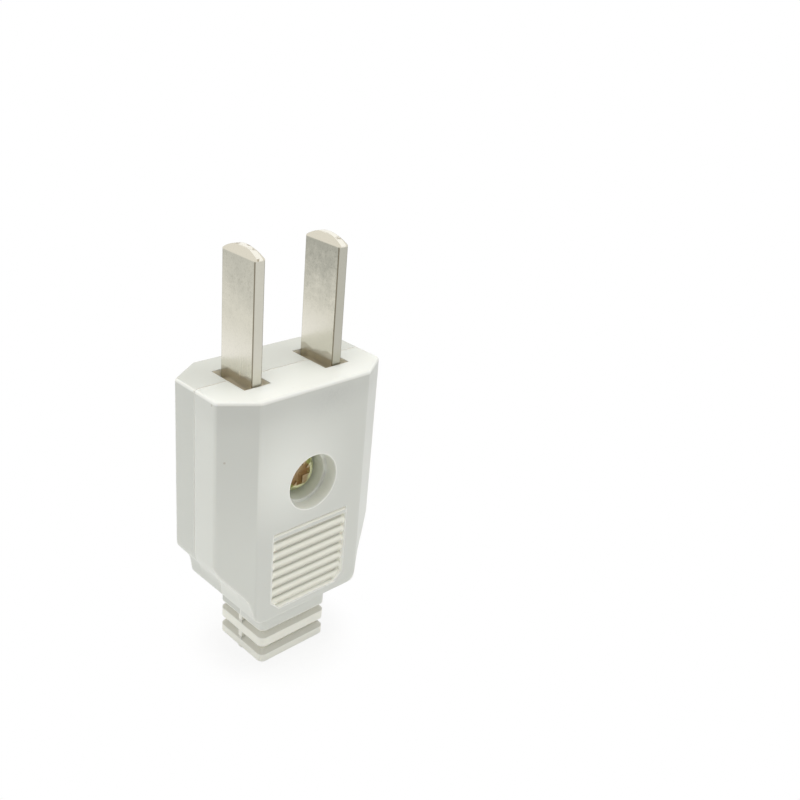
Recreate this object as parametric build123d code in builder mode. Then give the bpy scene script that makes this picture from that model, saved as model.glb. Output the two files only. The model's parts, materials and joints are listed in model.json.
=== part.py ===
from build123d import *
import os

os.makedirs("parts", exist_ok=True)

# A two-pin rewireable plug, standing on its cord end with the blades up.
# X runs to the right, Y to the back and Z up. The two shells meet at Y = 0.

# Housing
blade_to_side = 6.75
body_depth = 14.6
body_height = 41.8
wall = 1.7
prong_wall = 2.6
face_width = 17.2
side_cut_y = 3.0
side_round = 0.7
face_round = 0.45

# Front outline of the housing
shoulder_rise = 8.8
waist_width = 18.9
waist_height = 4.1
waist_curve = 4.0
shoulder_curve = 3.0
floor_width = 16.9
shoulder_floor = 9.2
floor_round = 2.1
sole_round = 0.5

# Neck with its two cord-grip rings
neck_width = 11.3
neck_depth = 9.8
neck_round = 0.9
foot_ring_height = 1.9
ring_height = 2.15
ring_bevel = 0.6
ring_edge = 0.2
groove_height = 0.7
groove_depth = 1.3
core_round = 0.5
seam_land = 0.35
cord_bore = 5.8

# Seam line round the outside
seam_line_width = 0.12
seam_line_depth = 0.08

# Finger grip on each face
grip_width = 12.2
grip_rise = 1.5
grip_to_recess = 1.95
grip_corner = 1.3
grip_depth_top = 0.4
grip_depth_foot = 0.85
ridge_count = 8
ridge_height = 0.45
ridge_gap = 0.2

# Blades
blade_spacing = 12.7
blade_width = 6.4
blade_thickness = 1.5
blade_length = 16.85
blade_edge_round = 0.12
tip_rise = 1.1
tip_bevel = 1.2
tip_thickness = 0.7
notch_depth = 1.0
notch_height = 2.0
notch_rise = 5.5
strip_depth = 11.3
tab_overlap = 3.5
tab_drop = 6.0
tab_clearance = 0.4

# Slots and ribs that hold the blades
slot_width = 4.0
slot_length = 6.9
slot_depth = 1.3
blade_clearance = 0.1
rib_clearance = 0.2
hold_rib_height = 2.0

# Case screw and nut
case_screw_drop = 13.5
recess_diameter = 7.7
recess_depth = 2.0
counterbore_diameter = 6.8
seat_depth = 4.6
boss_wall = 1.0
screw_diameter = 3.0
screw_hole_clearance = 0.2
case_head_diameter = 5.4
case_head_height = 1.9
case_screw_end_gap = 0.8
nut_width = 5.5
nut_thickness = 2.4
nut_depth = 3.1
nut_clearance = 0.05

# Terminal screws and their square washers
terminal_rise = 2.8
terminal_screw_length = 3.8
terminal_head_margin = 0.1
terminal_head_height = 1.7
washer_margin = 0.2
washer_thickness = 0.6
thread_clearance = 0.05
pad_clearance = 0.05
pad_margin = 0.3
pad_hole = 3.8
pad_hole_depth = 2.0

# Cord clamp and its two screws
clamp_end = 2.1
clamp_height = 3.8
clamp_thickness = 1.7
clamp_front_gap = 0.4
clamp_cord_gap = 0.9
clamp_screw_diameter = 2.6
clamp_screw_length = 6.5
clamp_head_diameter = 4.4
clamp_head_height = 1.2
clamp_post_diameter = 4.6
clamp_rib_radius = 0.5
saddle_thickness = 1.2
saddle_pitch = 4.4
saddle_level = 1.0
pilot_depth = 5.6
clamp_corner = 1.2

# Lip that lines the shells up
lip_width = 0.7
lip_height = 0.8
lip_clearance = 0.1
lip_foot_rise = 0.8
lip_top_drop = 6.3

# Drive in the screw heads
drive_share = 0.62
drive_width_share = 0.17
drive_depth_share = 0.55
head_round_share = 0.35
slot_share = 0.14
slot_depth_share = 0.4
slot_turn = 45
end_chamfer = 0.3

body_width = blade_spacing + 2 * blade_to_side
half_width = body_width / 2
half_depth = body_depth / 2
inner_width = half_width - wall
inner_depth = half_depth - wall
side_cut_x = (body_width - face_width) / 2
chamber_floor = shoulder_floor + wall
chamber_top = body_height - prong_wall
side_foot = shoulder_floor + shoulder_rise
waist_top = shoulder_floor + waist_height
ring_foot = foot_ring_height + groove_height
collar_foot = ring_foot + ring_height + groove_height
blade_x = blade_spacing / 2
blade_half = blade_width / 2
blade_tip = body_height + blade_length
strip_inner = blade_x - blade_thickness / 2
strip_foot = body_height - strip_depth
notch_foot = strip_foot + notch_rise
tab_front = blade_half - blade_thickness
tab_reach = inner_width - tab_clearance
tab_foot = strip_foot - tab_drop
tab_top = strip_foot + tab_overlap
terminal_x = (strip_inner + tab_reach) / 2
terminal_z = tab_foot + terminal_rise
washer_width = tab_reach - strip_inner - 2 * washer_margin
terminal_head_diameter = washer_width - 2 * terminal_head_margin
pad_width = tab_reach - strip_inner - 2 * pad_margin
case_screw_z = body_height - case_screw_drop
case_screw_length = body_depth - seat_depth - case_screw_end_gap
boss_radius = recess_diameter / 2 + boss_wall
seat_y = -half_depth + seat_depth
grip_foot = shoulder_floor + grip_rise
grip_top = case_screw_z - recess_diameter / 2 - grip_to_recess
lip_foot = side_foot + lip_foot_rise
lip_top = body_height - lip_top_drop
clamp_z = (chamber_floor + case_screw_z - boss_radius) / 2
clamp_level = inner_depth - clamp_front_gap - clamp_head_height - clamp_thickness
clamp_screw_spacing = cord_bore + clamp_post_diameter + 2 * clamp_cord_gap
clamp_length = clamp_screw_spacing + 2 * clamp_end


def body_section(z, inset):
    # The octagonal section of the housing at one height
    with BuildSketch(Plane.XY.offset(z)) as section:
        with BuildLine():
            Polyline(
                (0, -half_depth),
                (half_width - side_cut_x, -half_depth),
                (half_width, -half_depth + side_cut_y),
                (half_width, half_depth - side_cut_y),
                (half_width - side_cut_x, half_depth),
                (0, half_depth),
            )
            mirror(about=Plane.YZ)
        make_face()
        fillet(section.vertices().filter_by(lambda v: abs(v.X) > 1), side_round)
        if inset:
            offset(amount=-inset, kind=Kind.INTERSECTION)
    return section.sketch


def front_outline(inset, lead):
    # The front view of the housing above the neck, this far in front of the seam
    with BuildSketch(Plane.XZ.offset(lead)) as outline:
        with BuildLine():
            FilletPolyline(
                (0, shoulder_floor),
                (floor_width / 2, shoulder_floor),
                (waist_width / 2, waist_top),
                (half_width, side_foot),
                (half_width, body_height),
                radius=(floor_round, waist_curve, shoulder_curve),
            )
            Line((half_width, body_height), (0, body_height))
            mirror(about=Plane.YZ)
        make_face()
        if inset:
            offset(amount=-inset, kind=Kind.INTERSECTION)
    return outline.sketch


# Solid housing, before it is hollowed and split
with BuildPart() as housing:
    extrude(body_section(shoulder_floor, 0), amount=body_height - shoulder_floor)
    extrude(front_outline(0, body_depth), amount=-2 * body_depth, mode=Mode.INTERSECT)
    with BuildSketch(Plane.YZ.offset(-body_width)):
        with BuildLine():
            FilletPolyline(
                (-half_depth, body_height),
                (-half_depth, shoulder_floor),
                (half_depth, shoulder_floor),
                (half_depth, body_height),
                radius=sole_round,
            )
            Line((half_depth, body_height), (-half_depth, body_height))
        make_face()
    extrude(amount=2 * body_width, mode=Mode.INTERSECT)
    rims = housing.edges().filter_by(lambda e: abs(e.center().Z - body_height) < 0.01)
    fillet(rims, face_round)

with BuildPart() as chamber:
    extrude(body_section(chamber_floor, wall), amount=chamber_top - chamber_floor)
    extrude(front_outline(wall, body_depth), amount=-2 * body_depth, mode=Mode.INTERSECT)


# Cutter for the thin line round the parting plane
with BuildPart() as seam_line:
    extrude(front_outline(0, seam_line_width / 2), amount=-seam_line_width)
    extrude(
        front_outline(seam_line_depth, seam_line_width / 2),
        amount=-seam_line_width,
        mode=Mode.SUBTRACT,
    )

# Cutter for the finger grip: a leaning floor that carries half-round ridges
grip_pitch = (grip_top - grip_foot) / ridge_count
grip_lean = (grip_depth_foot - grip_depth_top) / (grip_top - grip_foot)


def grip_floor(z):
    # Where the floor of the grip lies at one height
    return -half_depth + grip_depth_foot - grip_lean * (z - grip_foot)


with BuildPart() as grip:
    with BuildSketch(Plane.YZ.offset(-grip_width / 2)):
        with BuildLine():
            last = (grip_floor(grip_foot), grip_foot)
            Line((-half_depth - 1, grip_foot), last)
            for ridge in range(ridge_count):
                low = grip_foot + ridge * grip_pitch + ridge_gap / 2
                high = low + grip_pitch - ridge_gap
                middle = (low + high) / 2
                start = (grip_floor(low), low)
                end = (grip_floor(high), high)
                Line(last, start)
                ThreePointArc(start, (grip_floor(middle) - ridge_height, middle), end)
                last = end
            Polyline(
                last,
                (grip_floor(grip_top), grip_top),
                (-half_depth - 1, grip_top),
                (-half_depth - 1, grip_foot),
            )
        make_face()
    extrude(amount=grip_width)
    with BuildSketch(Plane.XZ):
        with BuildLine():
            Polyline(
                (0, grip_top),
                (grip_width / 2, grip_top),
                (grip_width / 2, grip_foot + grip_corner),
                (grip_width / 2 - grip_corner, grip_foot),
                (0, grip_foot),
            )
            mirror(about=Plane.YZ)
        make_face()
    extrude(amount=body_depth, mode=Mode.INTERSECT)
    mirror(about=Plane.XZ)


def neck_ring(foot, height):
    # One cord-grip ring of the neck, with a wider bevel at its top edge
    with BuildPart() as ring:
        with BuildSketch(Plane.XY.offset(foot)):
            RectangleRounded(neck_width, neck_depth, neck_round)
        extrude(amount=height)
        chamfer(ring.faces().sort_by(Axis.Z)[-1].edges(), ring_bevel)
        chamfer(ring.faces().sort_by(Axis.Z)[0].edges(), ring_edge)
    return ring.part


# The whole moulding, with everything the two shells share
with BuildPart() as moulding:
    add(housing.part)
    add(seam_line.part, mode=Mode.SUBTRACT)
    # Core of the neck, with a land along the parting plane
    with BuildSketch():
        RectangleRounded(neck_width - 2 * groove_depth, neck_depth - 2 * groove_depth, core_round)
        Rectangle(neck_width, 2 * seam_land)
    extrude(amount=shoulder_floor)
    add(neck_ring(0, foot_ring_height))
    add(neck_ring(ring_foot, ring_height))
    with BuildSketch(Plane.XY.offset(collar_foot)):
        RectangleRounded(neck_width, neck_depth, neck_round)
    extrude(amount=shoulder_floor + 2 * seam_line_depth - collar_foot)
    add(grip.part, mode=Mode.SUBTRACT)
    add(chamber.part, mode=Mode.SUBTRACT)
    with BuildSketch():
        Circle(cord_bore / 2)
    extrude(amount=chamber_floor + wall, mode=Mode.SUBTRACT)
    # Slots for the blades, wide at the face and close-fitting below
    with BuildSketch(Plane.XY.offset(body_height - slot_depth)):
        with Locations((-blade_x, 0), (blade_x, 0)):
            Rectangle(slot_width, slot_length)
    extrude(amount=slot_depth, mode=Mode.SUBTRACT)
    with BuildSketch(Plane.XY.offset(chamber_top)):
        with Locations((-blade_x, 0), (blade_x, 0)):
            Rectangle(blade_thickness + 2 * blade_clearance, blade_width + 2 * blade_clearance)
    extrude(amount=prong_wall, mode=Mode.SUBTRACT)
    # Ribs that sit in the notches of the blades
    with BuildSketch(Plane.XY.offset(notch_foot + rib_clearance)):
        with Locations((-blade_x, 0), (blade_x, 0)):
            Rectangle(slot_width, 2 * inner_depth + wall)
            Rectangle(
                blade_thickness + 2 * blade_clearance,
                blade_width - 2 * notch_depth + 2 * blade_clearance,
                mode=Mode.SUBTRACT,
            )
    extrude(amount=notch_height - 2 * rib_clearance)
    # Bosses round the case screw
    with BuildSketch(Plane.XZ.offset(half_depth - wall / 2)):
        with Locations((0, case_screw_z)):
            Circle(boss_radius)
    extrude(amount=-body_depth + wall)
    with BuildSketch(Plane.XZ.offset(half_depth)):
        with Locations((0, case_screw_z)):
            Circle(recess_diameter / 2)
    extrude(amount=-recess_depth, mode=Mode.SUBTRACT)
    with BuildSketch(Plane.XZ.offset(half_depth)):
        with Locations((0, case_screw_z)):
            Circle(counterbore_diameter / 2)
    extrude(amount=-seat_depth, mode=Mode.SUBTRACT)
    with BuildSketch(Plane.XZ.offset(half_depth)):
        with Locations((0, case_screw_z)):
            Circle(screw_diameter / 2 + screw_hole_clearance)
    extrude(amount=-body_depth, mode=Mode.SUBTRACT)
    with BuildSketch(Plane.XZ.offset(-half_depth)):
        with Locations((0, case_screw_z)):
            RegularPolygon(nut_width / 2 + nut_clearance, 6, major_radius=False)
    extrude(amount=nut_depth, mode=Mode.SUBTRACT)

# Front shell
with BuildPart() as front_shell:
    add(moulding.part)
    split(bisect_by=Plane.XZ, keep=Keep.TOP)
    # Ribs that press the blade strips back
    with BuildSketch(Plane.XZ.offset(blade_half + blade_clearance)):
        with Locations((-blade_x, tab_top - hold_rib_height / 2), (blade_x, tab_top - hold_rib_height / 2)):
            Rectangle(blade_thickness, hold_rib_height)
    extrude(amount=inner_depth - blade_half)
    # Lips that reach into the back shell
    with BuildSketch(Plane.XY.offset(lip_foot)):
        with Locations((-inner_width - lip_width / 2, 0), (inner_width + lip_width / 2, 0)):
            Rectangle(lip_width, 2 * lip_height)
    extrude(amount=lip_top - lip_foot)

front_shell.part.label = "front_shell"
export_step(front_shell.part, "parts/front_shell.step")

# Back shell
with BuildPart() as back_shell:
    add(moulding.part)
    split(bisect_by=Plane.XZ, keep=Keep.BOTTOM)
    with BuildSketch(Plane.XY.offset(lip_foot - lip_clearance)):
        with Locations((-inner_width, 0), (inner_width, 0)):
            Rectangle(2 * (lip_width + lip_clearance), 2 * (lip_height + lip_clearance))
    extrude(amount=lip_top - lip_foot + 2 * lip_clearance, mode=Mode.SUBTRACT)
    # Pads behind the terminal tabs
    with BuildSketch(Plane.XZ.offset(-blade_half - pad_clearance)):
        with Locations((-terminal_x, (tab_foot + tab_top) / 2), (terminal_x, (tab_foot + tab_top) / 2)):
            Rectangle(pad_width, tab_top - tab_foot - 1)
    extrude(amount=-(inner_depth - blade_half))
    with BuildSketch(Plane.XZ.offset(-blade_half)):
        with Locations((-terminal_x, terminal_z), (terminal_x, terminal_z)):
            Circle(pad_hole / 2)
    extrude(amount=-pad_hole_depth, mode=Mode.SUBTRACT)
    # Posts for the cord clamp
    with BuildSketch(Plane.XZ.offset(clamp_level)):
        with Locations((-clamp_screw_spacing / 2, clamp_z), (clamp_screw_spacing / 2, clamp_z)):
            Circle(clamp_post_diameter / 2)
    extrude(amount=-(clamp_level + inner_depth + wall / 2))
    # Saddle ribs that cradle the cord
    for side in (-1, 1):
        with BuildSketch(Plane.XY.offset(clamp_z + side * saddle_pitch / 2 - saddle_thickness / 2)):
            with Locations((0, (saddle_level + inner_depth + wall / 2) / 2)):
                Rectangle(clamp_screw_spacing, inner_depth + wall / 2 - saddle_level)
            Circle(cord_bore / 2, mode=Mode.SUBTRACT)
        extrude(amount=saddle_thickness)
    with BuildSketch(Plane.XZ.offset(clamp_level)):
        with Locations((-clamp_screw_spacing / 2, clamp_z), (clamp_screw_spacing / 2, clamp_z)):
            Circle(clamp_screw_diameter / 2 + thread_clearance)
    extrude(amount=-pilot_depth, mode=Mode.SUBTRACT)

back_shell.part.label = "back_shell"
export_step(back_shell.part, "parts/back_shell.step")

# Right blade: a flat strip with an arched, bevelled tip and a tab for the terminal
with BuildPart() as right_blade:
    with BuildSketch(Plane.YZ.offset(strip_inner)):
        with BuildLine():
            Polyline(
                (blade_half, blade_tip - tip_rise),
                (blade_half, notch_foot + notch_height),
                (blade_half - notch_depth, notch_foot + notch_height),
                (blade_half - notch_depth, notch_foot),
                (blade_half, notch_foot),
                (blade_half, strip_foot),
                (-blade_half, strip_foot),
                (-blade_half, notch_foot),
                (-blade_half + notch_depth, notch_foot),
                (-blade_half + notch_depth, notch_foot + notch_height),
                (-blade_half, notch_foot + notch_height),
                (-blade_half, blade_tip - tip_rise),
            )
            ThreePointArc(
                (-blade_half, blade_tip - tip_rise),
                (0, blade_tip),
                (blade_half, blade_tip - tip_rise),
            )
        make_face()
    extrude(amount=blade_thickness)
    long_edges = right_blade.edges().filter_by(Axis.Z).filter_by(lambda e: e.length > blade_length)
    fillet(long_edges, blade_edge_round)
    with BuildSketch(Plane.XZ.offset(blade_width)):
        with BuildLine():
            Polyline(
                (blade_x + tip_thickness / 2, blade_tip),
                (blade_x + blade_thickness / 2, blade_tip - tip_bevel),
                (blade_x + blade_thickness, blade_tip - tip_bevel),
                (blade_x + blade_thickness, blade_tip),
                close=True,
            )
        make_face()
        mirror(about=Plane(origin=(blade_x, 0, 0), z_dir=(1, 0, 0)))
    extrude(amount=-2 * blade_width, mode=Mode.SUBTRACT)
    with BuildSketch(Plane.XZ.offset(-tab_front)):
        with Locations(((strip_inner + tab_reach) / 2, (tab_foot + tab_top) / 2)):
            Rectangle(tab_reach - strip_inner, tab_top - tab_foot)
    extrude(amount=-blade_thickness)
    with BuildSketch(Plane.XZ.offset(-tab_front)):
        with Locations((terminal_x, terminal_z)):
            Circle(screw_diameter / 2 + thread_clearance)
    extrude(amount=-blade_thickness, mode=Mode.SUBTRACT)

right_blade.part.label = "right_blade"
export_step(right_blade.part, "parts/right_blade.step")

# Left blade
with BuildPart() as left_blade:
    add(right_blade.part.mirror(Plane.YZ))

left_blade.part.label = "left_blade"
export_step(left_blade.part, "parts/left_blade.step")


def screw(x, seat, z, diameter, length, head_diameter, head_height, slotted):
    # A round-headed screw that points back from its seat
    with BuildPart() as body:
        with BuildSketch(Plane.XZ.offset(-seat)):
            with Locations((x, z)):
                Circle(head_diameter / 2)
        extrude(amount=head_height)
        chamfer(body.edges().sort_by(Axis.Y)[0], head_round_share * head_height)
        with BuildSketch(Plane.XZ.offset(-seat)):
            with Locations((x, z)):
                Circle(diameter / 2)
        extrude(amount=-length)
        chamfer(body.edges().sort_by(Axis.Y)[-1], end_chamfer)
        with BuildSketch(Plane.XZ.offset(head_height - seat)):
            with Locations((x, z)):
                Rectangle(drive_share * head_diameter, drive_width_share * head_diameter)
                Rectangle(drive_width_share * head_diameter, drive_share * head_diameter)
        extrude(amount=-drive_depth_share * head_height, mode=Mode.SUBTRACT)
        if slotted:
            with BuildSketch(Plane.XZ.offset(head_height - seat)):
                with Locations((x, z)):
                    Rectangle(head_diameter, slot_share * head_diameter, rotation=slot_turn)
            extrude(amount=-slot_depth_share * head_height, mode=Mode.SUBTRACT)
    return body.part


# Case screw
with BuildPart() as case_screw:
    add(
        screw(
            0,
            seat_y,
            case_screw_z,
            screw_diameter,
            case_screw_length,
            case_head_diameter,
            case_head_height,
            True,
        )
    )

case_screw.part.label = "case_screw"
export_step(case_screw.part, "parts/case_screw.step")

# Case nut
with BuildPart() as case_nut:
    with BuildSketch(Plane.XZ.offset(nut_depth - half_depth)):
        with Locations((0, case_screw_z)):
            RegularPolygon(nut_width / 2, 6, major_radius=False)
            Circle(screw_diameter / 2 + thread_clearance, mode=Mode.SUBTRACT)
    extrude(amount=-nut_thickness)

case_nut.part.label = "case_nut"
export_step(case_nut.part, "parts/case_nut.step")

# Terminal screws
terminal_seat = tab_front - washer_thickness

with BuildPart() as left_terminal_screw:
    add(
        screw(
            -terminal_x,
            terminal_seat,
            terminal_z,
            screw_diameter,
            terminal_screw_length,
            terminal_head_diameter,
            terminal_head_height,
            False,
        )
    )

left_terminal_screw.part.label = "left_terminal_screw"
export_step(left_terminal_screw.part, "parts/left_terminal_screw.step")

with BuildPart() as right_terminal_screw:
    add(left_terminal_screw.part.mirror(Plane.YZ))

right_terminal_screw.part.label = "right_terminal_screw"
export_step(right_terminal_screw.part, "parts/right_terminal_screw.step")

# Square washers under the terminal screws
with BuildPart() as left_terminal_washer:
    with BuildSketch(Plane.XZ.offset(-tab_front)):
        with Locations((-terminal_x, terminal_z)):
            Rectangle(washer_width, washer_width)
            Circle(screw_diameter / 2 + thread_clearance, mode=Mode.SUBTRACT)
    extrude(amount=washer_thickness)

left_terminal_washer.part.label = "left_terminal_washer"
export_step(left_terminal_washer.part, "parts/left_terminal_washer.step")

with BuildPart() as right_terminal_washer:
    add(left_terminal_washer.part.mirror(Plane.YZ))

right_terminal_washer.part.label = "right_terminal_washer"
export_step(right_terminal_washer.part, "parts/right_terminal_washer.step")

# Cord clamp: a bar with a rib that bites the cord
with BuildPart() as cord_clamp:
    with BuildSketch(Plane.XZ.offset(clamp_level)):
        with Locations((0, clamp_z)):
            RectangleRounded(clamp_length, clamp_height, clamp_corner)
        with Locations((-clamp_screw_spacing / 2, clamp_z), (clamp_screw_spacing / 2, clamp_z)):
            Circle(clamp_screw_diameter / 2 + screw_hole_clearance, mode=Mode.SUBTRACT)
    extrude(amount=clamp_thickness)
    with BuildSketch(Plane.YZ.offset(-cord_bore / 2)):
        with Locations((-clamp_level, clamp_z)):
            Circle(clamp_rib_radius)
    extrude(amount=cord_bore)

cord_clamp.part.label = "cord_clamp"
export_step(cord_clamp.part, "parts/cord_clamp.step")

# Screws of the cord clamp
with BuildPart() as left_clamp_screw:
    add(
        screw(
            -clamp_screw_spacing / 2,
            -clamp_level - clamp_thickness,
            clamp_z,
            clamp_screw_diameter,
            clamp_screw_length,
            clamp_head_diameter,
            clamp_head_height,
            False,
        )
    )

left_clamp_screw.part.label = "left_clamp_screw"
export_step(left_clamp_screw.part, "parts/left_clamp_screw.step")

with BuildPart() as right_clamp_screw:
    add(left_clamp_screw.part.mirror(Plane.YZ))

right_clamp_screw.part.label = "right_clamp_screw"
export_step(right_clamp_screw.part, "parts/right_clamp_screw.step")
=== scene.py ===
import json
import math
import bpy
from mathutils import Euler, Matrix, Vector


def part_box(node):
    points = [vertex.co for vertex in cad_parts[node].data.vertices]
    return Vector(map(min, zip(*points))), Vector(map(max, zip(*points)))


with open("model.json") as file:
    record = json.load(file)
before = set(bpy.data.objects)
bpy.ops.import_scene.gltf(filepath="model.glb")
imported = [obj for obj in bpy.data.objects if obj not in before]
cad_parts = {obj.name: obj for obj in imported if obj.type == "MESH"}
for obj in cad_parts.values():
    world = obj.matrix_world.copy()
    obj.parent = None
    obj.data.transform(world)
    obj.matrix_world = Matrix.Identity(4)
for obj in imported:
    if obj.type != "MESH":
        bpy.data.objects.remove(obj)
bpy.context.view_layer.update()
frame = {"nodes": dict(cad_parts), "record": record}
nodes = frame["nodes"]
print("frame loaded:", len(nodes), "pieces")

# Places in millimetres that the finishes start from, read off the CAD pieces
millimetre = 0.001
shellLow, shellHigh = [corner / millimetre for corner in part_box("front_shell")]
screwLow, screwHigh = [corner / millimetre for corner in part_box("case_screw")]
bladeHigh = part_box("left_blade")[1] / millimetre
halfDepth = -shellLow.y
faceTop = shellHigh.z
screwHeight = (screwLow.z + screwHigh.z) / 2
bladeHalfWidth = bladeHigh.y


# Shader wires: one output socket, so that sums and products are written as they are read
class Wire:
    def __init__(self, tree, socket=None):
        self.tree = tree
        self.socket = socket

    def node(self, kind, settings, values, output=0):
        made = self.tree.nodes.new(kind)
        for name, value in settings.items():
            setattr(made, name, value)
        for name, value in values.items():
            if isinstance(value, Wire):
                self.tree.links.new(value.socket, made.inputs[name])
            else:
                made.inputs[name].default_value = value
        return Wire(self.tree, made.outputs[output])

    def maths(self, operation, first, second=0.0):
        return self.node("ShaderNodeMath", {"operation": operation}, {0: first, 1: second})

    def __add__(self, other):
        return self.maths("ADD", self, other)

    def __radd__(self, other):
        return self.maths("ADD", other, self)

    def __sub__(self, other):
        return self.maths("SUBTRACT", self, other)

    def __rsub__(self, other):
        return self.maths("SUBTRACT", other, self)

    def __mul__(self, other):
        return self.maths("MULTIPLY", self, other)

    def __rmul__(self, other):
        return self.maths("MULTIPLY", other, self)

    def __truediv__(self, other):
        return self.maths("DIVIDE", self, other)

    def __abs__(self):
        return self.maths("ABSOLUTE", self)

    def least(self, other):
        return self.maths("MINIMUM", self, other)

    def most(self, other):
        return self.maths("MAXIMUM", self, other)

    def fraction(self):
        return self.maths("FRACT", self)

    # length of the slope over two sides at right angles
    def slope(self, other):
        return self.maths("SQRT", self * self + other * other)

    # 0 at start, 1 at full, smooth between, whichever of them is the higher
    def step(self, start, full):
        return self.node(
            "ShaderNodeMapRange",
            {"interpolation_type": "SMOOTHSTEP", "clamp": True},
            {"Value": self, "From Min": start, "From Max": full, "To Min": 0.0, "To Max": 1.0},
        )

    def vectors(self, operation, first, second):
        return self.node("ShaderNodeVectorMath", {"operation": operation}, {0: first, 1: second}, "Value")

    # x, y and z in millimetres
    def axes(self, coords):
        split = [self.node("ShaderNodeSeparateXYZ", {}, {"Vector": coords}, i) for i in range(3)]
        return [axis / millimetre for axis in split]

    # pattern is its scale per metre, detail and roughness
    def noise(self, coords, pattern):
        scale, detail, roughness = pattern
        return self.node(
            "ShaderNodeTexNoise",
            {"noise_dimensions": "3D"},
            {"Vector": coords, "Scale": scale, "Detail": detail, "Roughness": roughness},
        )

    # noise drawn out lengthwise: a scale for each axis, then detail and roughness
    def drawnNoise(self, coords, pattern):
        scales, detail, roughness = pattern
        stretched = self.node("ShaderNodeMapping", {}, {"Vector": coords, "Scale": scales})
        return self.noise(stretched, (1.0, detail, roughness))

    def blend(self, factor, first, second):
        return self.node("ShaderNodeMix", {"data_type": "RGBA"}, {0: factor, 6: first, 7: second}, 2)

    # colours laid over one another, each on its mask; the fourth number is how far it covers
    def paint(self, look, base, layers):
        colour = look[base]
        for mask, name in layers:
            *tint, cover = look[name]
            colour = self.blend(mask * cover, colour, (*tint, 1.0))
        return colour

    # edges rounded in the shading only
    def edges(self, radius, samples=6):
        return self.node("ShaderNodeBevel", {"samples": samples}, {"Radius": radius * millimetre})

    # relief is its strength and its depth in millimetres
    def bump(self, relief, height, normal):
        strength, depth = relief
        values = {"Strength": strength, "Distance": depth * millimetre, "Height": height, "Normal": normal}
        return self.node("ShaderNodeBump", {}, values)


# A new material and its object coordinates
def startMaterial(name):
    material = bpy.data.materials.new(name)
    material.use_nodes = True
    tree = material.node_tree
    shader = next(n for n in tree.nodes if n.type == "BSDF_PRINCIPLED")
    wire = Wire(tree)
    return material, shader, wire, wire.node("ShaderNodeTexCoord", {}, {}, "Object")


def feed(shader, name, value):
    if isinstance(value, Wire):
        value.tree.links.new(value.socket, shader.inputs[name])
    else:
        shader.inputs[name].default_value = value


# Where all the fades of a zone overlap: each is a measure, where it starts and where it is full
def zone(measures, fades):
    return math.prod(measures[measure].step(start, full) for measure, start, full in fades)


# Moulded shells: satin ivory plastic, with painted shade in its grooves. Sizes are in millimetres, and the
# fourth number of a colour is how far it covers what lies under it
paleIvory = (0.93, 0.93, 0.89)
dirtBrown = (0.45, 0.41, 0.34)
shellLook = {
    "ivory": (0.70, 0.715, 0.675, 1.0),
    "cloud": (0.66, 0.655, 0.59, 0.10),
    "backHalf": (0.585, 0.60, 0.56, 0.80),
    "faceBackShade": (0.46, 0.46, 0.42, 0.45),
    "faceFrontLight": (*paleIvory, 0.35),
    "facetShade": (0.60, 0.61, 0.575, 1.0),
    "litSlopes": (*paleIvory, 0.22),
    "litPatch": (0.84, 0.855, 0.81, 1.0),
    "neck": (0.90, 0.895, 0.815, 1.0),
    "grip": (0.94, 0.935, 0.84, 1.0),
    "scuff": (0.50, 0.51, 0.49, 1.0),
    "speck": (*dirtBrown, 0.10),
    "dirt": (*dirtBrown, 0.60),
    "valleyShade": (0.19, 0.182, 0.13, 0.53),
    "litWalls": (0.98, 0.98, 0.93, 1.0),
    "bore": (0.84, 0.85, 0.79, 1.0),
    "ledge": (0.72, 0.725, 0.67, 0.70),
    "paintedHighlights": (*paleIvory, 1.0),
    "grooveShade": (0.40, 0.39, 0.32, 0.50),
    "slotWalls": (0.96, 0.91, 0.79, 0.80),
    "seam": (*paleIvory, 0.60),
    "faceSeam": (0.86, 0.84, 0.77, 1.0),
    "cutShade": 0.50,
    "frontShade": 0.25,
    "underRimShade": 0.40,
    "rimPaleness": {"topRim": 0.60, "lip": 0.80, "boreRim": 0.90},
    "edgePaleness": 0.50,
    "lowEdgePaleness": 0.40,
    "roughness": 0.40,
    "waveRoughness": 0.12,
    "grainRoughness": 0.10,
    "specular": 0.45,
    "subsurface": 0.08,
    "subsurfaceRadius": (1.2, 1.0, 0.8),
    "grainNoise": (7000.0, 3.0, 0.60),
    "grainRelief": (0.6, 0.006),
    "waveNoise": (230.0, 2.0, 0.50),
    "waveRelief": (0.5, 0.05),
    "cloudNoise": (60.0, 3.0, 0.55),
    "speckNoise": (1900.0, 2.0, 0.50),
    "speckRange": (0.70, 0.80),
    "ledgeNoise": (420.0, 1.0, 0.50),
    "ledgeRange": (0.46, 0.54),
    "scuffNoise": (3600.0, 2.0, 0.60),
    "scuffRange": (0.35, 0.80),
    "scuffCloudRange": (0.20, 0.90),
    "scuffLeast": 0.35,
    "scuffGrain": 0.50,
    "dirtSpots": ((-13.10, -3.60, 41.15), (-12.15, -4.93, 33.80)),
    "dirtRange": (0.20, 0.09),
    "gripFoot": 10.7,
    "gripTop": 22.5,
    "gripHalfWidth": 6.1,
    "gripCorner": 1.3,
    "ridgeCount": 8,
    "litPatchMiddle": (-4.0, 31.0),
    "litPatchReach": (12.0, 11.0),
    "edgeRadius": 0.25,
    "shoulderRadius": 0.50,
    "gripRadius": 0.06,
    "seamRadius": 0.02,
    "seamHalfWidth": 0.08,
    "seamWidening": 0.6,
    "edgeGlintRange": (0.004, 0.05),
}
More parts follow.
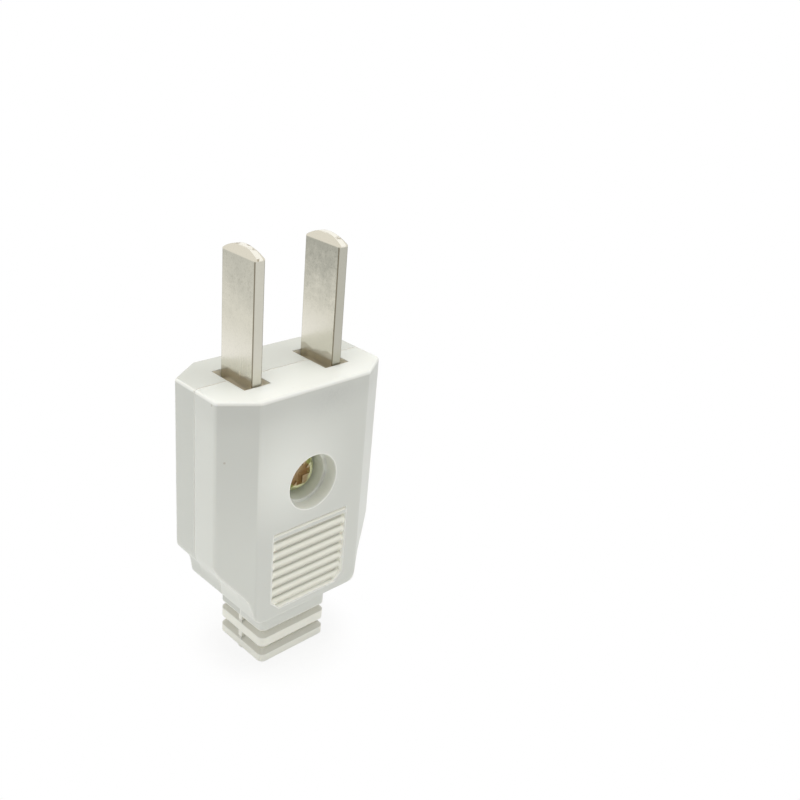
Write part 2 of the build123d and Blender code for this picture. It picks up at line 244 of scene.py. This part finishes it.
# The measures are x, y and z; side and lead, the distances from the middle to each side and to
# front and back; drop, below the prong face; sunk and front, behind both faces and the front one;
# reach, from the screw's axis; outside, from the grip's outline; overGrip, above it; and phase,
# the place on one ridge from its foot, 0, to its top, 1
shellZones = {
    "backHalf": [("y", 0.03, 0.06)],
    "faceBackShade": [("drop", 0.20, 0.05), ("y", -3.5, 4.5)],
    "faceFrontLight": [("drop", 0.20, 0.05), ("y", -1.0, -6.0)],
    "frontFace": [("front", 0.20, 0.05)],
    "cuts": [("side", 8.6, 8.9), ("lead", 4.3, 4.5), ("drop", 22.8, 3.8), ("drop", 0.1, 0.3)],
    "underRim": [("drop", 5.0, 1.6), ("drop", 0.1, 0.3)],
    "topRim": [("drop", 0.55, 0.35), ("drop", 0.02, 0.12)],
    "litSlopes": [("z", 17.8, 15.5), ("side", 8.8, 9.6), ("lead", 4.6, 4.2)],
    "shoulders": [("z", 20.0, 18.5), ("z", 8.2, 8.8)],
    "lowHalf": [("z", 20.0, 18.5)],
    "neck": [("z", 5.7, 5.4)],
    "lowGroove": [("z", 1.26, 1.38), ("z", 1.96, 1.84)],
    "highGroove": [("z", 4.11, 4.23), ("z", 4.81, 4.69)],
    "grip": [
        ("outside", 0.04, 0.0), ("overGrip", 0.05, 0.0),
        ("sunk", 0.01, 0.04), ("sunk", 1.4, 1.3),
    ],
    "gripWalls": [("outside", -0.06, -0.02)],
    "ridges": [("outside", -0.1, -0.6)],
    "ridgeFoot": [("phase", 0.80, 0.10)],
    "ridgeTop": [("phase", 0.80, 0.97)],
    "lip": [
        ("outside", -0.02, 0.06), ("outside", 0.20, 0.12),
        ("overGrip", 0.05, 0.0), ("sunk", 0.06, 0.02),
    ],
    "bore": [("reach", 3.95, 3.88), ("front", 5.3, 5.1)],
    "boreRim": [("reach", 3.78, 3.90), ("reach", 4.06, 3.94), ("front", 0.18, 0.08)],
    "ledge": [
        ("reach", 3.36, 3.44), ("reach", 3.90, 3.82),
        ("front", 1.86, 1.94), ("front", 2.14, 2.06),
    ],
    "scuff": [
        ("drop", 6.8, 1.8), ("drop", 0.4, 1.2),
        ("x", -5.0, 3.0), ("x", 11.0, 3.0),
        ("front", 0.3, 0.1),
    ],
    "seam": [("lead", 0.13, 0.09)],
    "faceSeam": [("drop", 0.5, 0.2)],
    "rimEdge": [("drop", 0.5, 0.3)],
    "slotWalls": [
        ("drop", 2.56, 2.44), ("drop", 0.04, 0.16),
        ("side", 4.27, 4.33), ("side", 8.43, 8.37),
        ("lead", 3.55, 3.46),
    ],
}


# Distances that the shells' zones are measured by
def shellMeasures(x, y, z):
    look = shellLook
    side = abs(x)
    lead = abs(y)
    beside = side - look["gripHalfWidth"]
    below = look["gripFoot"] - z
    acrossCorner = (beside + below + look["gripCorner"]) * math.sqrt(0.5)
    ridgePitch = (look["gripTop"] - look["gripFoot"]) / look["ridgeCount"]
    return {
        "x": x,
        "y": y,
        "z": z,
        "side": side,
        "lead": lead,
        "drop": faceTop - z,
        "sunk": halfDepth - lead,
        "front": y + halfDepth,
        "reach": x.slope(z - screwHeight),
        "outside": beside.most(below).most(acrossCorner),
        "overGrip": z - look["gripTop"],
        "phase": ((z - look["gripFoot"]) / ridgePitch).fraction(),
    }


def shellPlastic():
    look = shellLook
    material, shader, wire, coords = startMaterial("shellPlastic")
    measures = shellMeasures(*wire.axes(coords))
    x, z, lead = measures["x"], measures["z"], measures["lead"]
    grain = wire.noise(coords, look["grainNoise"])
    wave = wire.noise(coords, look["waveNoise"])
    cloud = wire.noise(coords, look["cloudNoise"])
    speck = wire.noise(coords, look["speckNoise"]).step(*look["speckRange"])
    area = {name: zone(measures, fades) for name, fades in shellZones.items()}

    # painted shade: each ridge of the grip is palest near its top and darkens down to the valley
    grip = area["grip"]
    valleyShade = area["ridgeFoot"].most(area["ridgeTop"]) * grip * area["ridges"]
    ledge = area["ledge"] * wire.noise(coords, look["ledgeNoise"]).step(*look["ledgeRange"])
    # painted pool of light: the front is palest round its screw
    (middleX, middleZ), (reachX, reachZ) = look["litPatchMiddle"], look["litPatchReach"]
    litPatch = ((x - middleX) / reachX).slope((z - middleZ) / reachZ).step(1.0, 0.0) * area["frontFace"]
    # a haze of fine scratches above the screw, and two specks of dirt
    scratches = wire.noise(coords, look["scuffNoise"]).step(*look["scuffRange"])
    scratches = look["scuffLeast"] + scratches * look["scuffGrain"]
    scuff = area["scuff"] * cloud.step(*look["scuffCloudRange"]) * scratches
    dirt = 0.0
    for spot in look["dirtSpots"]:
        away = wire.vectors("DISTANCE", coords, Vector(spot) * millimetre) / millimetre
        dirt = away.step(*look["dirtRange"]) + dirt
    # painted shade: duller on the cut corners, on the front and under the rim
    facetShade = (area["cuts"] * look["cutShade"]).most(area["frontFace"] * look["frontShade"])
    facetShade = facetShade + area["underRim"] * look["underRimShade"]

    # rounded edges: widest on the shoulders, fine in the grip, finest where the shells meet
    widening = area["shoulders"] * (1.0 - grip) * (look["shoulderRadius"] - look["edgeRadius"])
    radius = look["edgeRadius"] + widening - grip * (look["edgeRadius"] - look["gripRadius"])
    fromSeam = (lead - look["seamHalfWidth"]).most(0.0)
    radius = radius.least(look["seamRadius"] + look["seamWidening"] * fromSeam + area["rimEdge"])
    edges = wire.edges(radius, samples=8)
    # painted highlights: paler along those edges, and on the rims and the grip's lip
    face = wire.node("ShaderNodeNewGeometry", {}, {}, "Normal")
    edgeGlint = (1.0 - wire.vectors("DOT_PRODUCT", edges, face)).step(*look["edgeGlintRange"])
    edgeGlint = edgeGlint * (1.0 - area["bore"]) * (1.0 - area["slotWalls"])
    paintedHighlights = edgeGlint * (look["edgePaleness"] + look["lowEdgePaleness"] * area["lowHalf"])
    for name, paleness in look["rimPaleness"].items():
        paintedHighlights = paintedHighlights.most(area[name] * paleness)

    layers = (
        (cloud, "cloud"),
        (area["backHalf"], "backHalf"),
        # painted shade over the back of the prong face
        (area["faceBackShade"], "faceBackShade"),
        # painted light on the front of the prong face
        (area["faceFrontLight"], "faceFrontLight"),
        (facetShade, "facetShade"),
        # painted light on the shoulder slopes
        (area["litSlopes"], "litSlopes"),
        (litPatch, "litPatch"),
        # the neck's warmer tone, paled further as painted light from the table below
        (area["neck"], "neck"),
        # the grip's cream tone, paled further as painted light on its ridges
        (grip, "grip"),
        (scuff, "scuff"),
        (speck, "speck"),
        (dirt, "dirt"),
        (valleyShade, "valleyShade"),
        # painted light on the grip's walls, against their shade
        (area["gripWalls"] * grip, "litWalls"),
        # painted light inside the screw's recess, and painted shade in patches on its ledge between paler
        # arcs
        (area["bore"], "bore"),
        (ledge, "ledge"),
        (paintedHighlights, "paintedHighlights"),
        # painted shade in the neck's grooves
        (area["lowGroove"].most(area["highGroove"]), "grooveShade"),
        # the slot walls' tan tone, paled as painted light against their shade
        (area["slotWalls"], "slotWalls"),
        # the seam paled as painted light over its groove's shade; on the prong face a beige joint tint
        (area["seam"] * (1.0 - area["neck"]), "seam"),
        (area["seam"] * area["faceSeam"], "faceSeam"),
    )
    feed(shader, "Base Color", wire.paint(look, "ivory", layers))
    unevenness = (wave - 0.5) * look["waveRoughness"] + (grain - 0.5) * look["grainRoughness"]
    feed(shader, "Roughness", look["roughness"] + unevenness)
    feed(shader, "Specular IOR Level", look["specular"])
    feed(shader, "Subsurface Weight", look["subsurface"])
    feed(shader, "Subsurface Radius", [radius * millimetre for radius in look["subsurfaceRadius"]])
    feed(shader, "Subsurface Scale", 1.0)
    waves = wire.bump(look["waveRelief"], wave, edges)
    feed(shader, "Normal", wire.bump(look["grainRelief"], grain, waves))
    return material


# Blades: nickel plate drawn lengthwise, sheared ends, tarnished corners
bladeLook = {
    "nickel": (0.70, 0.675, 0.575, 1.0),
    "smudge": (0.58, 0.56, 0.47, 0.45),
    "top": (0.40, 0.395, 0.335, 1.0),
    "low": (0.88, 0.85, 0.77, 0.60),
    "pits": (0.24, 0.23, 0.18, 1.0),
    "foot": (0.54, 0.50, 0.42, 0.80),
    "slotShade": (0.28, 0.25, 0.20, 0.45),
    "narrow": (0.60, 0.585, 0.51, 0.80),
    "rightEdgeShade": (0.40, 0.395, 0.335, 0.60),
    "bevel": (0.72, 0.68, 0.57, 1.0),
    "crown": (0.93, 0.90, 0.80, 1.0),
    "crownStain": (0.30, 0.24, 0.15, 0.80),
    "corner": (0.16, 0.13, 0.08, 0.80),
    "roughness": 0.24,
    "drawnRoughness": 0.16,
    "smudgeRoughness": 0.10,
    "narrowRoughness": 0.08,
    "drawnNoise": ((900.0, 2600.0, 35.0), 3.0, 0.60),
    "fineNoise": ((5000.0, 9000.0, 160.0), 2.0, 0.60),
    "shearedNoise": ((400.0, 5200.0, 400.0), 2.0, 0.60),
    "smudgeNoise": (170.0, 3.0, 0.60),
    "mottleNoise": (900.0, 3.0, 0.65),
    "stainRange": (0.50, 0.62),
    "pitNoise": (3200.0, 2.0, 0.60),
    "pitRange": (0.52, 0.66),
    "pitsBelow": 0.05,
    "pitsAtTop": 0.25,
    "leftTipShade": 0.62,
    "rightTipShade": 0.48,
    "topMottle": 9.0,
    "topSmudge": 8.0,
    "footSmudge": 3.0,
    "drawnHeight": 0.6,
    "fineHeight": 0.4,
    "shearedHeight": 1.5,
    "relief": (0.35, 0.012),
    "edgeRadius": 0.10,
    "centre": 6.35,
}
# The measures are x; across, the distance from the middle of a blade's thickness; side, in from
# its narrow edges; tip, below its end; and rise, above the prong face, plain or blurred by smudges
bladeZones = {
    "right": [("x", -1.0, 1.0)],
    "bevel": [("tip", 1.35, 1.15)],
    "crown": [("tip", 1.35, 1.15), ("across", 0.42, 0.36)],
    "narrow": [("side", 0.08, 0.01)],
    "corner": [("side", 0.14, 0.08), ("across", 0.60, 0.66)],
    "top": [("topRise", 5.2, 16.7)],
    "low": [("rise", 8.2, 2.2)],
    "foot": [("footRise", 1.3, 1.0)],
    "slotShade": [("rise", 0.4, -0.8)],
}


def bladeMetal():
    look = bladeLook
    material, shader, wire, coords = startMaterial("bladeMetal")
    x, y, z = wire.axes(coords)
    drawn = wire.drawnNoise(coords, look["drawnNoise"])
    fine = wire.drawnNoise(coords, look["fineNoise"])
    sheared = wire.drawnNoise(coords, look["shearedNoise"])
    smudge = wire.noise(coords, look["smudgeNoise"])
    mottle = wire.noise(coords, look["mottleNoise"])
    pits = wire.noise(coords, look["pitNoise"]).step(*look["pitRange"])
    rise = z - faceTop
    measures = {
        "x": x,
        "across": abs(abs(x) - look["centre"]),
        "side": bladeHalfWidth - abs(y),
        "tip": bladeHigh.z - z,
        "rise": rise,
        "topRise": rise + (mottle - 0.5) * look["topMottle"] + (smudge - 0.5) * look["topSmudge"],
        "footRise": rise + (smudge - 0.5) * look["footSmudge"],
    }
    area = {name: zone(measures, fades) for name, fades in bladeZones.items()}
    bevel = area["bevel"]
    narrow = area["narrow"] * (1.0 - bevel)
    # painted shade: darker towards the tip, most on the right blade
    top = area["top"] * (look["leftTipShade"] + look["rightTipShade"] * area["right"])

    layers = (
        (smudge, "smudge"),
        (top * (1.0 - narrow), "top"),
        # painted light, a paler band low on the blades
        (area["low"], "low"),
        (pits * (look["pitsBelow"] + top * look["pitsAtTop"]), "pits"),
        # painted reflection of the slot at the blades' foot, and painted shade where they go down into it
        (area["foot"] * (1.0 - narrow), "foot"),
        (area["slotShade"], "slotShade"),
        (narrow, "narrow"),
        # painted shade on the right blade's narrow edges
        (narrow * area["right"], "rightEdgeShade"),
        (bevel, "bevel"),
        # painted highlight along the middle of the sheared tip
        (area["crown"], "crown"),
        (area["crown"] * mottle.step(*look["stainRange"]), "crownStain"),
        (area["corner"] * (1.0 - bevel), "corner"),
    )
    feed(shader, "Base Color", wire.paint(look, "nickel", layers))
    unevenness = (drawn - 0.5) * look["drawnRoughness"] + (smudge - 0.5) * look["smudgeRoughness"]
    feed(shader, "Roughness", look["roughness"] + unevenness + narrow * look["narrowRoughness"])
    feed(shader, "Metallic", 1.0)
    height = drawn * look["drawnHeight"] + fine * look["fineHeight"]
    height = height + bevel * sheared * look["shearedHeight"]
    feed(shader, "Normal", wire.bump(look["relief"], height, wire.edges(look["edgeRadius"])))
    return material


# Case screw: yellow zinc plate, brown in the drive
caseScrewLook = {
    "zinc": (0.42, 0.31, 0.18, 1.0),
    "patina": (0.52, 0.43, 0.27, 1.0),
    "rim": (0.72, 0.74, 0.47, 1.0),
    "drive": (0.76, 0.63, 0.46, 0.80),
    "roughness": 0.30,
    "patinaRoughness": 0.20,
    "driveRoughness": 0.10,
    "patinaNoise": (900.0, 3.0, 0.60),
    "patinaRange": (0.42, 0.62),
    "fineNoise": (5200.0, 2.0, 0.60),
    "driveDepth": (0.1, 0.4),
    "rimReach": (1.62, 1.90),
    "rimWander": 1.6,
    "relief": (0.4, 0.010),
    "edgeRadius": 0.12,
}


def caseScrewMetal():
    look = caseScrewLook
    material, shader, wire, coords = startMaterial("caseScrewMetal")
    x, y, z = wire.axes(coords)
    patina = wire.noise(coords, look["patinaNoise"])
    fine = wire.noise(coords, look["fineNoise"])
    dip = (y - screwLow.y).step(*look["driveDepth"])
    reach = x.slope(z - screwHeight)
    rim = (reach + (patina - 0.5) * look["rimWander"]).step(*look["rimReach"])
    layers = (
        (patina.step(*look["patinaRange"]), "patina"),
        # the yellow plate on the rim, paled in patches as painted highlight
        (rim, "rim"),
        (dip * (1.0 - rim), "drive"),
    )
    feed(shader, "Base Color", wire.paint(look, "zinc", layers))
    unevenness = (patina - 0.5) * look["patinaRoughness"] + dip * look["driveRoughness"]
    feed(shader, "Roughness", look["roughness"] + unevenness)
    feed(shader, "Metallic", 1.0)
    feed(shader, "Normal", wire.bump(look["relief"], fine, wire.edges(look["edgeRadius"])))
    return material


# Nut, terminal screws, washers and clamp screws: plain zinc plate
smallMetalLook = {
    "zinc": (0.62, 0.62, 0.61, 1.0),
    "spangle": (0.50, 0.50, 0.47, 0.50),
    "roughness": 0.34,
    "spangleRoughness": 0.25,
    "spangleNoise": (1400.0, 3.0, 0.60),
    "fineNoise": (6000.0, 2.0, 0.60),
    "relief": (0.4, 0.010),
    "edgeRadius": 0.10,
}


def smallMetal():
    look = smallMetalLook
    material, shader, wire, coords = startMaterial("smallMetal")
    spangle = wire.noise(coords, look["spangleNoise"])
    fine = wire.noise(coords, look["fineNoise"])
    feed(shader, "Base Color", wire.paint(look, "zinc", ((spangle, "spangle"),)))
    feed(shader, "Roughness", look["roughness"] + (spangle - 0.5) * look["spangleRoughness"])
    feed(shader, "Metallic", 1.0)
    feed(shader, "Normal", wire.bump(look["relief"], fine, wire.edges(look["edgeRadius"])))
    return material


# Cord clamp: matt grey moulding
clampLook = {
    "grey": (0.52, 0.51, 0.47, 1.0),
    "cloud": (0.44, 0.43, 0.39, 0.30),
    "roughness": 0.6,
    "grainRoughness": 0.2,
    "grainNoise": (5000.0, 3.0, 0.60),
    "cloudNoise": (300.0, 2.0, 0.50),
    "relief": (0.4, 0.015),
    "edgeRadius": 0.20,
}


def clampPlastic():
    look = clampLook
    material, shader, wire, coords = startMaterial("clampPlastic")
    grain = wire.noise(coords, look["grainNoise"])
    cloud = wire.noise(coords, look["cloudNoise"])
    feed(shader, "Base Color", wire.paint(look, "grey", ((cloud, "cloud"),)))
    feed(shader, "Roughness", look["roughness"] + (grain - 0.5) * look["grainRoughness"])
    feed(shader, "Normal", wire.bump(look["relief"], grain, wire.edges(look["edgeRadius"])))
    return material


finishes = {
    "shell_plastic": shellPlastic(),
    "blade_metal": bladeMetal(),
    "case_screw_metal": caseScrewMetal(),
    "small_metal": smallMetal(),
    "clamp_plastic": clampPlastic(),
}
for entry in frame["record"]["subparts"]:
    piece = nodes[entry["node"]]
    piece.data.materials.clear()
    piece.data.materials.append(finishes[entry["material_slot"]])
print("finishes given:", len(finishes))


# White table and backdrop, seen white but lit like pale card; sizes in metres
stageLook = {
    "size": 3.0,
    "level": -0.00001,
    "nearColour": (0.88, 0.88, 0.86, 1.0),
    "farColour": (0.50, 0.50, 0.485, 1.0),
    "colourRange": (0.085, 0.20),
    "shadow": 0.16,
    "shadowRange": (0.014, 0.007),
    "roughness": 0.8,
    "seen": (1.0, 1.0, 1.0, 1.0),
}


# 1 for the rays that see the background itself, in the picture or mirrored
def seenWhite(wire):
    camera = wire.node("ShaderNodeLightPath", {}, {}, "Is Camera Ray")
    glossy = wire.node("ShaderNodeLightPath", {}, {}, "Is Glossy Ray")
    through = wire.node("ShaderNodeLightPath", {}, {}, "Is Transmission Ray")
    return camera.most(glossy).most(through)


def whiteTable():
    look = stageLook
    bpy.ops.object.select_all(action="DESELECT")
    bpy.ops.mesh.primitive_plane_add(size=look["size"], location=(0, 0, look["level"]))
    table = bpy.context.object
    table.name = "table"
    material, shader, wire, coords = startMaterial("whiteCard")
    reach = wire.vectors("DISTANCE", coords, (0.0, 0.0, 0.0))
    card = wire.blend(reach.step(*look["colourRange"]), look["nearColour"], look["farColour"])
    feed(shader, "Base Color", card)
    feed(shader, "Roughness", look["roughness"])
    # near the foot the camera sees some of the lit card, and with it the plug's shadow
    shadow = reach.step(*look["shadowRange"]) * look["shadow"]
    white = wire.node("ShaderNodeEmission", {}, {"Color": look["seen"], "Strength": 1.0})
    lit = Wire(wire.tree, shader.outputs[0])
    mix = wire.node("ShaderNodeMixShader", {}, {0: seenWhite(wire) * (1.0 - shadow), 1: lit, 2: white})
    feed(next(n for n in wire.tree.nodes if n.type == "OUTPUT_MATERIAL"), "Surface", mix)
    table.data.materials.append(material)
    return table


whiteTable()

# Light tent round the plug, brighter from above
plainWhite = (1.0, 1.0, 1.0)
lightLook = {
    "tent": 0.46,
    "tentColour": (*plainWhite, 1.0),
    "lamps": {
        "topLight": {
            "power": 1.3,
            "size": 0.36,
            "place": (0.0, 0.05, 0.40),
            "aim": (0.0, 0.0, 0.03),
            "colour": (1.0, 0.99, 0.95),
        },
        "leftLight": {
            "power": 0.43,
            "size": 0.42,
            "place": (-0.38, 0.08, 0.14),
            "aim": (0.0, 0.0, 0.02),
            "colour": plainWhite,
        },
        "rightLight": {
            "power": 0.46,
            "size": 0.42,
            "place": (0.27, -0.30, 0.12),
            "aim": (0.0, 0.0, 0.02),
            "colour": plainWhite,
        },
    },
}


def softLight(name, look):
    data = bpy.data.lights.new(name, "AREA")
    data.shape = "SQUARE"
    data.size = look["size"]
    data.energy = look["power"]
    data.color = look["colour"]
    lamp = bpy.data.objects.new(name, data)
    bpy.context.scene.collection.objects.link(lamp)
    lamp.visible_glossy = False  # metal mirrors the surround, which is full white without the lamps
    lamp.location = look["place"]
    away = Vector(look["place"]) - Vector(look["aim"])
    lamp.rotation_euler = away.to_track_quat("Z", "Y").to_euler()
    return lamp


def tent():
    look = lightLook
    world = bpy.data.worlds.new("tent")
    bpy.context.scene.world = world
    world.use_nodes = True
    back = next(n for n in world.node_tree.nodes if n.type == "BACKGROUND")
    feed(back, "Color", look["tentColour"])
    feed(back, "Strength", look["tent"] + seenWhite(Wire(world.node_tree)) * (1.0 - look["tent"]))


tent()
for name, look in lightLook["lamps"].items():
    softLight(name, look)
bpy.context.scene.view_settings.view_transform = "Standard"
print("table and lights set")

# Camera at the photograph's place: metres, degrees and millimetres
cameraLook = {
    "place": (-0.07027, -0.08700, 0.08916),
    "turn": (65.409, -5.049, -44.528),
    "lens": 42.53,
    "sensor": 36.0,
    "nearest": 0.005,
}


def camera():
    look = cameraLook
    data = bpy.data.cameras.new("camera")
    data.lens = look["lens"]
    data.sensor_width = look["sensor"]
    data.sensor_fit = "HORIZONTAL"
    data.clip_start = look["nearest"]
    made = bpy.data.objects.new("camera", data)
    bpy.context.scene.collection.objects.link(made)
    made.location = look["place"]
    made.rotation_euler = Euler([math.radians(angle) for angle in look["turn"]])
    bpy.context.scene.camera = made


camera()
